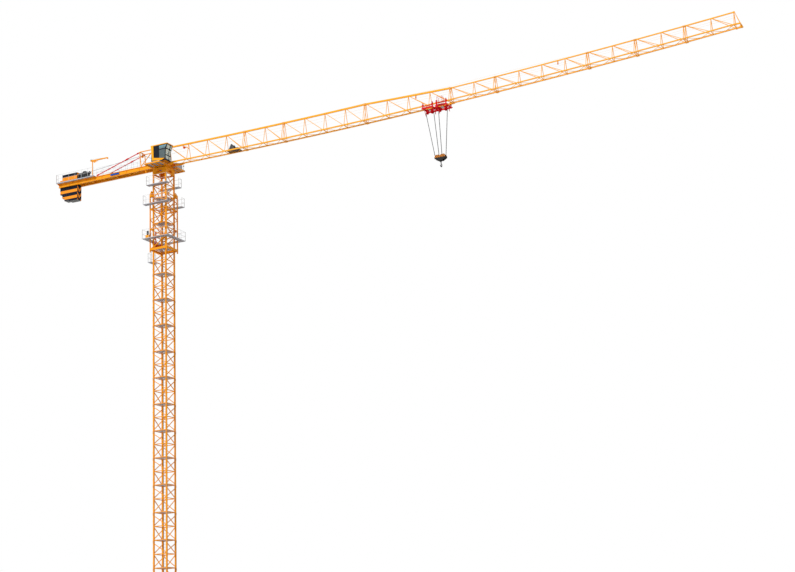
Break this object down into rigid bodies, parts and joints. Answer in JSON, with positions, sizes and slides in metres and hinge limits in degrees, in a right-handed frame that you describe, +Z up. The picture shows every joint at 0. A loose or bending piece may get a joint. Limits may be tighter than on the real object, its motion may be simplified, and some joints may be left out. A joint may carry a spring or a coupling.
{
  "type": "tower crane scale model",
  "caption": "Scale model 1:10 of a flat-top tower crane: square lattice mast, climbing cage, cab, triangular jib, trolley with hook block, counter-jib with ballast.",
  "frame": {"origin": "flat underside of the base frame, on the mast axis, where it stands on its foundation", "axes": "+Z up the mast, +X along the jib, +Y to the side away from the cab"},
  "size_m": [8.2643, 0.465, 6.4999],
  "materials": {
    "orange_paint": "gloss orange paint",
    "galvanised_steel": "hot-dip galvanised, matt",
    "red_paint": "satin red paint",
    "dark_paint": "satin dark grey paint",
    "painted_concrete": "concrete slabs painted in orange and navy layers",
    "cab_glass": "tinted glass",
    "seat_cloth": "dark cloth",
    "wire_rope": "bright wire rope",
    "navy_paint": "satin navy paint",
    "black_paint": "satin black paint"
  },
  "bodies": {
    "mast": {"base_frame": "orange_paint", "mast_section_1": "orange_paint", "mast_section_2": "orange_paint", "mast_section_3": "orange_paint", "mast_section_4": "orange_paint", "mast_section_5": "orange_paint", "mast_section_6": "orange_paint", "mast_section_7": "orange_paint", "mast_section_8": "orange_paint", "mast_section_9": "orange_paint", "mast_section_10": "orange_paint", "mast_section_11": "orange_paint", "mast_section_12": "orange_paint", "mast_section_13": "orange_paint", "mast_section_14": "orange_paint", "mast_section_15": "orange_paint", "mast_section_16": "orange_paint", "mast_section_17": "orange_paint", "mast_section_18": "orange_paint", "mast_section_19": "orange_paint", "mast_landings": "galvanised_steel", "mast_ladders": "galvanised_steel", "climbing_cage": "orange_paint", "mast_walkways": "galvanised_steel", "mast_railings": "galvanised_steel", "climbing_gear": "red_paint", "power_pack": "dark_paint", "slewing_support": "orange_paint", "slewing_ring": "galvanised_steel"},
    "upperworks": {"turntable": "orange_paint", "deck_gratings": "galvanised_steel", "upper_railings": "galvanised_steel", "drive_cabinet": "galvanised_steel", "tower_head": "orange_paint", "counter_jib": "orange_paint", "tie_rods": "red_paint", "derrick_post": "orange_paint", "hoist_winch": "dark_paint", "ballast_slabs": "painted_concrete", "cab_body": "navy_paint", "cab_frame": "orange_paint", "cab_glazing": "cab_glass", "cab_seat": "seat_cloth", "jib_section_1": "orange_paint", "jib_section_2": "orange_paint", "jib_section_3": "orange_paint", "jib_section_4": "orange_paint", "jib_section_5": "orange_paint", "jib_section_6": "orange_paint", "jib_section_7": "orange_paint", "jib_section_8": "orange_paint", "jib_section_9": "orange_paint", "trolley_winch": "dark_paint"},
    "derrick": {"derrick_arm": "orange_paint"},
    "trolley": {"trolley": "red_paint", "trolley_basket": "red_paint", "hoist_falls": "wire_rope"},
    "hook_block": {"hook_block": "black_paint"},
    "hook": {"hook": "black_paint"}
  },
  "joints": [
    {"name": "slewing", "type": "hinge", "parent": "mast", "child": "upperworks", "pos_m": [0, 0, 6.1325], "axis": [0, 0, 1], "continuous": true},
    {"name": "trolley_travel", "type": "hinge", "parent": "upperworks", "child": "trolley", "pos_m": [1.275, 0, 89.4635], "axis": [0, -1, 0], "range_deg": [-2.08, 2.07]},
    {"name": "hoist", "type": "slide", "parent": "trolley", "child": "hook_block", "axis": [0, 0, 1], "range_m": [-5.32, 0.42], "deforming": ["hoist_falls"]},
    {"name": "hook_swivel", "type": "hinge", "parent": "hook_block", "child": "hook", "pos_m": [3.503, 0, 5.56122], "axis": [0, 0, 1], "continuous": true},
    {"name": "derrick_slew", "type": "hinge", "parent": "upperworks", "child": "derrick", "pos_m": [-0.977, -0.05, 6.3846], "axis": [0, 0, 1], "range_deg": [-170, 170]}
  ]
}
